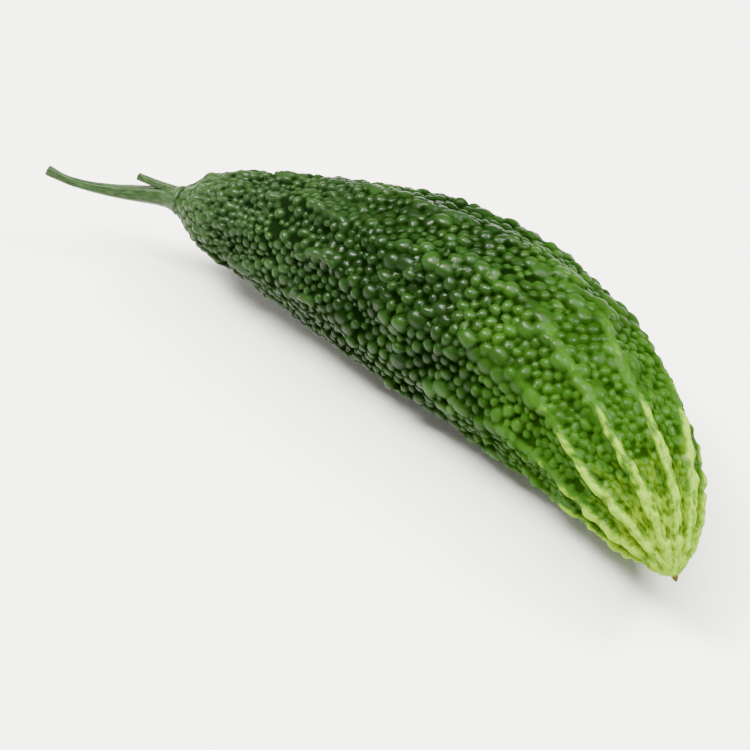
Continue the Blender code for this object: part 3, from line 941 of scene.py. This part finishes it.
def build_stalk(context):
    """The stalk and its side shoot, joined in one piece."""
    props = context.scene.gourd
    shape = Shape("Gourd stalk", props.shape, props.stalk)
    neck = middle_line(shape, 0)
    back = (neck - middle_line(shape, STEP)).unit()
    up = shape.vector(0, 0, 1)
    foot = neck - back * shape.sunk
    end = neck + shape.reach
    long = shape.reach.size()
    knee = foot + back * (shape.bend * long)
    root = neck + shape.shoot_foot
    half = root + shape.shoot_reach * 0.5 - up * shape.shoot_sag
    tip = root + shape.shoot_reach

    def stalk_line(t):
        hanging = shape.sag * t**2 * (1 - t) / SAG_PEAK
        return curve_point(foot, knee, end, t) + up * (shape.hook * t.smooth(0.85, 1.05) - hanging)

    def stalk_radius(t):
        off = (t * long - shape.sunk).most(0)
        flare = shape.flare * (off / shape.flare_reach * -1).exp()
        plain = shape.end_radius + shape.taper * (1 - t.smooth(0.25, 0.90))
        return plain + flare + shape.knob * t.smooth(0.92, 0.99)

    def shoot_line(t):
        return curve_point(root, half, tip, t)

    def shoot_radius(t):
        return shape.shoot_radius * (1 + 0.5 * (t * -4).exp())

    stalk = swept(shape, stalk_line, stalk_radius, rows=150, columns=60, hollow=0.0012)
    shoot = swept(shape, shoot_line, shoot_radius, rows=70, columns=40, hollow=0.0008)
    shape.finish(joined_tubes(shape, (stalk, shoot)), stalk_material(props.colours))
    return shape.make("gourd_stalk_surface")


class GOURD_OT_skin(bpy.types.Operator):
    """Make the fruit's skin"""

    bl_idname = "gourd.skin"
    bl_label = "Skin"

    def execute(self, context):
        piece = build_skin(context)
        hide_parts("fruit")
        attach(piece, "root")
        return {"FINISHED"}


class GOURD_OT_stalk(bpy.types.Operator):
    """Make the stalk with its side shoot"""

    bl_idname = "gourd.stalk"
    bl_label = "Stalk"

    def execute(self, context):
        piece = build_stalk(context)
        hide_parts("stem")
        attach(piece, "root")
        return {"FINISHED"}


# Each lamp: name, azimuth, elevation, distance, width, strength in watts and colour
LAMPS = (
    ("key", -60, 60, 1.5, 0.50, 64.0, (1.0, 0.985, 0.96)),
    ("back", 150, 52, 1.5, 0.50, 48.0, (1.0, 0.99, 0.97)),
)
CEILING_TINT = (1.0, 0.99, 0.975)


def direction(azimuth, elevation):
    """The unit vector from the object towards something at that azimuth and elevation."""
    flat = math.cos(elevation)
    return Vector((math.sin(azimuth) * flat, -math.cos(azimuth) * flat, math.sin(elevation)))


def facing(place, target):
    """The matrix of a light or camera at a place, which looks at the target."""
    turn = (target - place).to_track_quat("-Z", "Y").to_matrix().to_4x4()
    return Matrix.Translation(place) @ turn


def add_lamp(context, aim, name, azimuth, elevation, distance, width, watts, tint):
    """A square lamp that looks at the aim."""
    data = bpy.data.lights.new(name, "AREA")
    data.shape = "SQUARE"
    data.size = width
    data.energy = watts
    data.color = tint
    lamp = bpy.data.objects.new(name, data)
    place = aim + direction(math.radians(azimuth), math.radians(elevation)) * distance
    lamp.matrix_world = facing(place, aim)
    context.scene.collection.objects.link(lamp)


def add_ceiling(context, strength, spread):
    """Broad light from straight above, which reaches the far floor as it does the near."""
    data = bpy.data.lights.new("ceiling", "SUN")
    data.energy = strength
    data.angle = spread
    data.color = CEILING_TINT
    context.scene.collection.objects.link(bpy.data.objects.new("ceiling", data))


def add_surround(context, strength):
    """Even light from all sides."""
    world = bpy.data.worlds.new("studio")
    world.use_nodes = True
    background = world.node_tree.nodes["Background"]
    background.inputs["Color"].default_value = (1, 1, 1, 1)
    background.inputs["Strength"].default_value = strength
    context.scene.world = world


def add_camera(context, aim, place, width):
    """A camera at the place that looks at the aim and shows that width there."""
    data = bpy.data.cameras.new("camera")
    data.sensor_width = 36.0
    data.lens = data.sensor_width * (place - aim).length / width
    data.clip_start = 0.01
    camera = bpy.data.objects.new("camera", data)
    camera.matrix_world = facing(place, aim)
    context.scene.collection.objects.link(camera)
    context.scene.camera = camera


FLOOR_RINGS = 24
FLOOR_SIDES = 96


def floor_mesh(flat, bend, rim):
    """A round floor that turns up softly towards its rim, so that it shows no horizon."""
    points, faces = [(0.0, 0.0, 0.0)], []
    for ring in range(FLOOR_RINGS + 1):
        radius = flat + (rim - flat) * ring / FLOOR_RINGS
        height = (radius - flat) ** 2 / (2 * bend)
        for side in range(FLOOR_SIDES):
            turn = FULL_TURN * side / FLOOR_SIDES
            points.append((radius * math.cos(turn), radius * math.sin(turn), height))
    for side in range(FLOOR_SIDES):
        beside = (side + 1) % FLOOR_SIDES
        faces.append((0, 1 + side, 1 + beside))
        for ring in range(FLOOR_RINGS):
            inner = 1 + ring * FLOOR_SIDES
            outer = inner + FLOOR_SIDES
            faces.append((inner + side, outer + side, outer + beside, inner + beside))
    mesh = bpy.data.meshes.new("floor")
    mesh.from_pydata(points, [], faces)
    mesh.shade_smooth()
    return mesh


def floor_material(tint):
    """A matt tint that varies a little."""
    material, graph = new_material("floor")
    place = graph.node("ShaderNodeTexCoord", output="Object")
    shade = mixed(graph, tint, [0.985 * c for c in tint], noise(graph, place, 3.0))
    finish_material(graph, {"Base Color": shade, "Roughness": 0.8})
    return material


class GOURD_OT_stage(bpy.types.Operator):
    """Make the floor, the lights and the camera"""

    bl_idname = "gourd.stage"
    bl_label = "Stage"

    def execute(self, context):
        stage = context.scene.gourd.stage
        mesh = floor_mesh(stage.floor_flat, stage.floor_bend, stage.floor_rim)
        mesh.materials.append(floor_material(stage.floor))
        floor = bpy.data.objects.new("floor", mesh)
        context.scene.collection.objects.link(floor)

        aim = Vector(stage.aim)
        for lamp in LAMPS:
            add_lamp(context, aim, *lamp)
        add_ceiling(context, stage.ceiling, stage.ceiling_spread)
        add_surround(context, stage.surround)
        place = aim + direction(stage.azimuth, stage.elevation) * stage.distance
        add_camera(context, aim, place, stage.frame_width)
        return {"FINISHED"}


class GourdSettings(bpy.types.PropertyGroup):
    """Everything that a user would change."""

    shape: bpy.props.PointerProperty(type=GourdShape, name="Shape", description="The fruit's form")
    beads: bpy.props.PointerProperty(type=GourdBeads, name="Beads", description="The beads and cords")
    colours: bpy.props.PointerProperty(type=GourdColours, name="Colours", description="All colours")
    stalk: bpy.props.PointerProperty(type=GourdStalk, name="Stalk", description="The stalk")
    stage: bpy.props.PointerProperty(type=GourdStage, name="Stage", description="Floor, light and camera")


class GOURD_PT_panel(bpy.types.Panel):
    """The gourd's sizes, colours and steps"""

    bl_idname = "GOURD_PT_panel"
    bl_label = "Bitter Gourd"
    bl_space_type = "VIEW_3D"
    bl_region_type = "UI"
    bl_category = "Gourd"

    def draw(self, context):
        settings = context.scene.gourd
        for step in ("gourd.stage", "gourd.skin", "gourd.stalk"):
            self.layout.operator(step)
        for group in (settings.shape, settings.beads, settings.colours, settings.stalk, settings.stage):
            box = self.layout.box()
            for key in group.bl_rna.properties.keys():
                if key not in ("name", "rna_type"):
                    box.prop(group, key)


CLASSES = (
    GourdShape,
    GourdBeads,
    GourdColours,
    GourdStalk,
    GourdStage,
    GourdSettings,
    GOURD_OT_skin,
    GOURD_OT_stalk,
    GOURD_OT_stage,
    GOURD_PT_panel,
)


def register():
    for kind in CLASSES:
        bpy.utils.register_class(kind)
    bpy.types.Scene.gourd = bpy.props.PointerProperty(type=GourdSettings)


def unregister():
    del bpy.types.Scene.gourd
    for kind in reversed(CLASSES):
        bpy.utils.unregister_class(kind)


def main():
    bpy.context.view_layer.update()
    register()
    bpy.ops.gourd.stage()
    bpy.ops.gourd.skin()
    bpy.ops.gourd.stalk()


if __name__ == "__main__":
    main()
